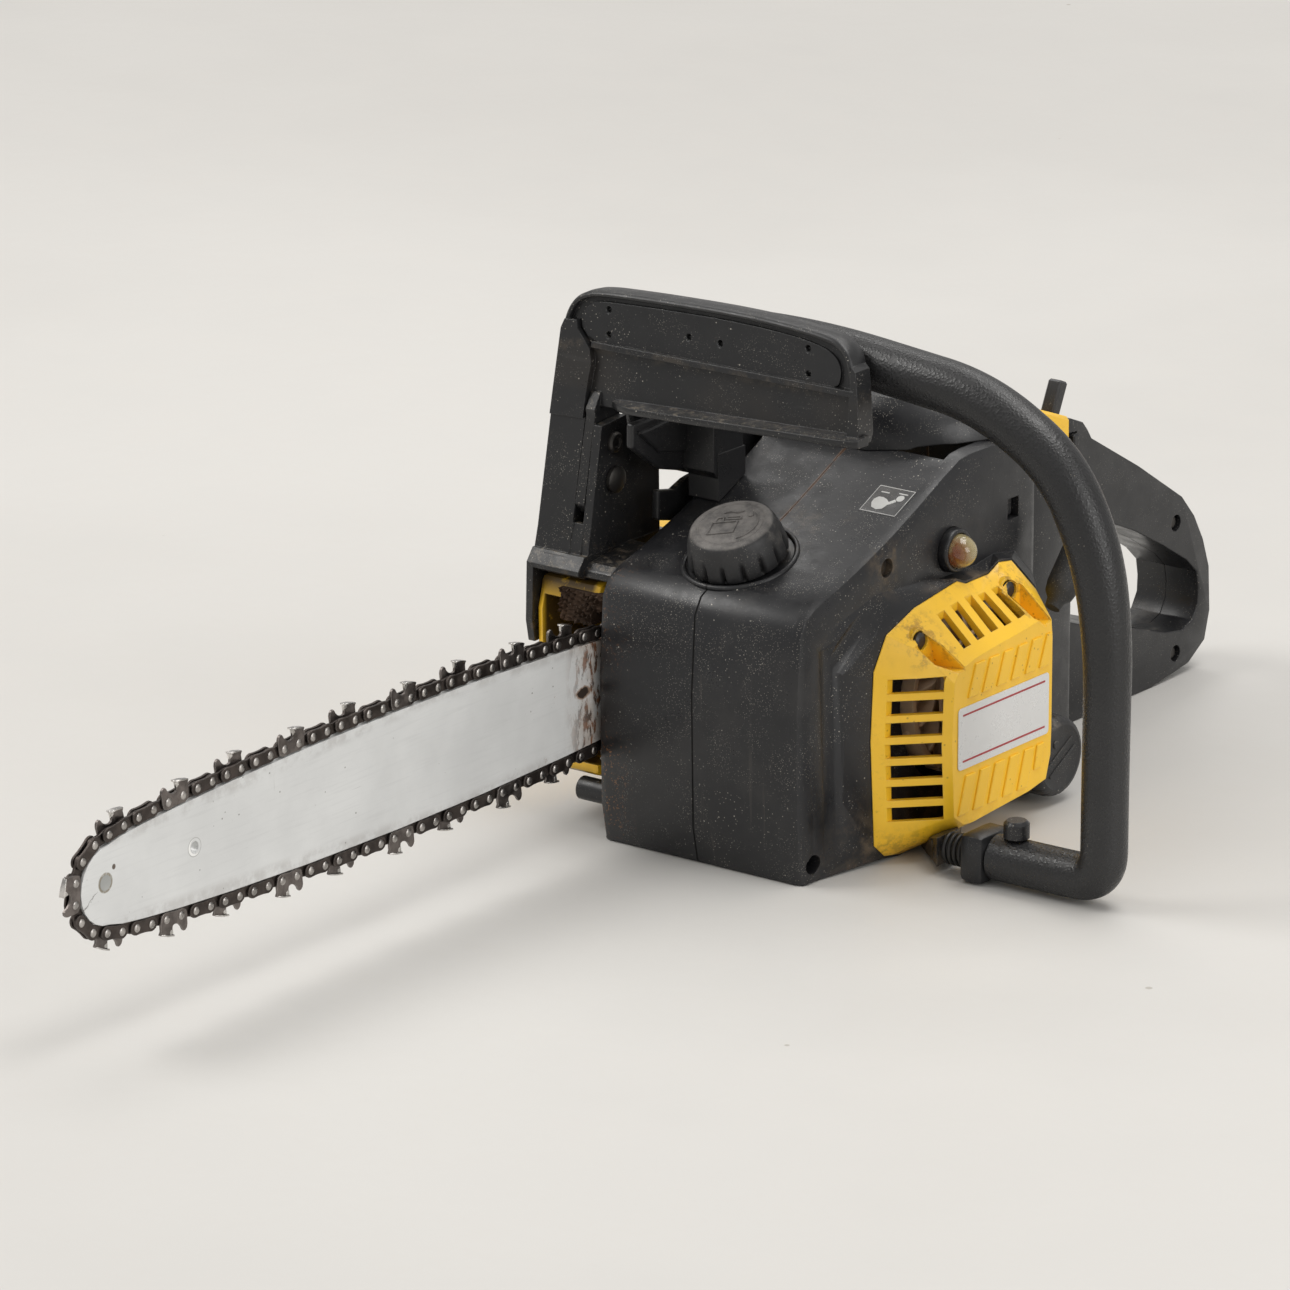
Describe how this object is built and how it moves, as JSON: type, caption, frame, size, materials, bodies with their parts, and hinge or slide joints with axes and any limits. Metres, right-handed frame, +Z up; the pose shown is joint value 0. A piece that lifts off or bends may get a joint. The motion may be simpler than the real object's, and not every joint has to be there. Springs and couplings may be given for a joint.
{
  "type": "chainsaw",
  "caption": "Petrol chainsaw with guide bar and chain, sloped tank body, louvred starter cover, loop front handle, hand guard, closed rear handle and the engine parts inside.",
  "frame": {"origin": "on the flat underside, below the crankshaft axis, in the plane where the housing halves meet", "axes": "+Z up, -Y forwards along the guide bar, +X to the starter side, which is the operator's left"},
  "size_m": [0.2939, 0.747, 0.2472],
  "materials": {
    "black_plastic": "satin",
    "soft_grip_black": "satin",
    "yellow_plastic": "satin",
    "bar_paint": "satin",
    "bright_steel": "polished",
    "chain_steel": "oiled",
    "cast_aluminium": "cast",
    "rusty_steel": "rusty",
    "amber_bulb": "clear, glossy",
    "white_ceramic": "glazed",
    "cream_plastic": "satin",
    "filter_foam": "open foam",
    "spring_steel": "oiled"
  },
  "bodies": {
    "powerhead": {"air_filter": "filter_foam", "av_spring": "spring_steel", "bar_nut_front": "bright_steel", "bar_nut_rear": "bright_steel", "bar_stud_front": "bright_steel", "bar_stud_rear": "bright_steel", "brake_band": "spring_steel", "brake_housing": "black_plastic", "carburettor": "cast_aluminium", "chain_catcher": "black_plastic", "clutch_cover": "yellow_plastic", "cylinder": "cast_aluminium", "filter_cover": "yellow_plastic", "front_handle": "soft_grip_black", "guard_bolt": "bright_steel", "guide_bar": "bar_paint", "handle_mount_left": "black_plastic", "handle_mount_right": "black_plastic", "handle_screw_lower": "bright_steel", "handle_screw_upper": "bright_steel", "handle_stud": "black_plastic", "housing_left": "black_plastic", "housing_right": "black_plastic", "ignition_coil": "spring_steel", "intake_manifold": "soft_grip_black", "muffler": "rusty_steel", "oil_pump": "cast_aluminium", "plug_boot": "soft_grip_black", "primer_base": "black_plastic", "rear_handle_left": "black_plastic", "rear_handle_right": "black_plastic", "rear_housing": "black_plastic", "recoil_spring": "spring_steel", "saw_chain": "chain_steel", "spark_plug": "white_ceramic", "starter_cover": "yellow_plastic", "starter_screw_front": "bright_steel", "starter_screw_rear": "bright_steel", "tension_screw": "bright_steel", "top_cover": "black_plastic"},
    "guard": {"hand_guard": "black_plastic"},
    "trigger": {"throttle_trigger": "black_plastic"},
    "lockout": {"throttle_lockout": "black_plastic"},
    "choke": {"choke_lever": "black_plastic"},
    "switch": {"stop_switch": "black_plastic"},
    "fuel_lid": {"fuel_cap": "black_plastic"},
    "oil_lid": {"oil_cap": "black_plastic"},
    "primer": {"primer_bulb": "amber_bulb"},
    "grip": {"starter_grip": "soft_grip_black"},
    "pulley": {"starter_pulley": "cream_plastic", "starter_rope": "soft_grip_black"},
    "crank": {"crank_half_left": "bright_steel", "crank_half_right": "bright_steel", "flywheel": "cream_plastic", "clutch_hub": "rusty_steel"},
    "drum": {"clutch_drum": "bright_steel"},
    "nose": {"nose_sprocket": "bright_steel"},
    "reciprocating": {"piston": "cast_aluminium", "wrist_pin": "bright_steel", "connecting_rod": "bright_steel"}
  },
  "joints": [
    {"name": "guard_brake", "type": "hinge", "parent": "powerhead", "child": "guard", "pos_m": [-0.081, -0.0747, 0.1594], "axis": [1, 0, 0], "range_deg": [0, 18]},
    {"name": "throttle", "type": "hinge", "parent": "powerhead", "child": "trigger", "pos_m": [0, 0.147, 0.113], "axis": [1, 0, 0], "range_deg": [0, 12], "stiffness_Nm_per_rad": 0.3},
    {"name": "throttle_lock", "type": "hinge", "parent": "powerhead", "child": "lockout", "pos_m": [0, 0.183, 0.127], "axis": [-1, 0, 0], "range_deg": [0, 6], "stiffness_Nm_per_rad": 0.2},
    {"name": "choke", "type": "hinge", "parent": "powerhead", "child": "choke", "pos_m": [0.01, 0.1475, 0.137], "axis": [1, 0, 0], "range_deg": [0, 20]},
    {"name": "stop_slide", "type": "slide", "parent": "powerhead", "child": "switch", "axis": [0, -1, 0], "range_m": [0, 0.004]},
    {"name": "fuel_cap_turn", "type": "hinge", "parent": "powerhead", "child": "fuel_lid", "pos_m": [-0.001, -0.0765, 0.13524], "axis": [0, -0.3665, 0.9304], "range_deg": [0, 540]},
    {"name": "oil_cap_turn", "type": "hinge", "parent": "powerhead", "child": "oil_lid", "pos_m": [0.065, 0.058, 0.0225], "axis": [1, 0, 0], "range_deg": [0, 540]},
    {"name": "primer_press", "type": "slide", "parent": "powerhead", "child": "primer", "axis": [-1, 0, 0], "range_m": [0, 0.003], "stiffness_N_per_m": 400},
    {"name": "starter_pull", "type": "slide", "parent": "powerhead", "child": "grip", "axis": [0, 0.6919, 0.722], "range_m": [0, 0.45]},
    {"name": "pulley_spin", "type": "hinge", "parent": "powerhead", "child": "pulley", "pos_m": [0.0735, 0, 0.07], "axis": [1, 0, 0], "range_deg": [0, 1060]},
    {"name": "crank_spin", "type": "hinge", "parent": "powerhead", "child": "crank", "pos_m": [0, 0, 0.07], "axis": [1, 0, 0], "continuous": true},
    {"name": "piston_stroke", "type": "slide", "parent": "powerhead", "child": "reciprocating", "axis": [0, 0, -1], "range_m": [0, 0.028]},
    {"name": "drum_spin", "type": "hinge", "parent": "powerhead", "child": "drum", "pos_m": [-0.06, 0, 0.07], "axis": [1, 0, 0], "continuous": true},
    {"name": "nose_spin", "type": "hinge", "parent": "powerhead", "child": "nose", "pos_m": [-0.06, -0.44192, 0.07], "axis": [1, 0, 0], "continuous": true}
  ],
  "couplings": [
    {"joint": "pulley_spin", "follows": "starter_pull", "rad_per_m": 40.8},
    {"joint": "nose_spin", "follows": "drum_spin", "ratio": 0.85714}
  ]
}
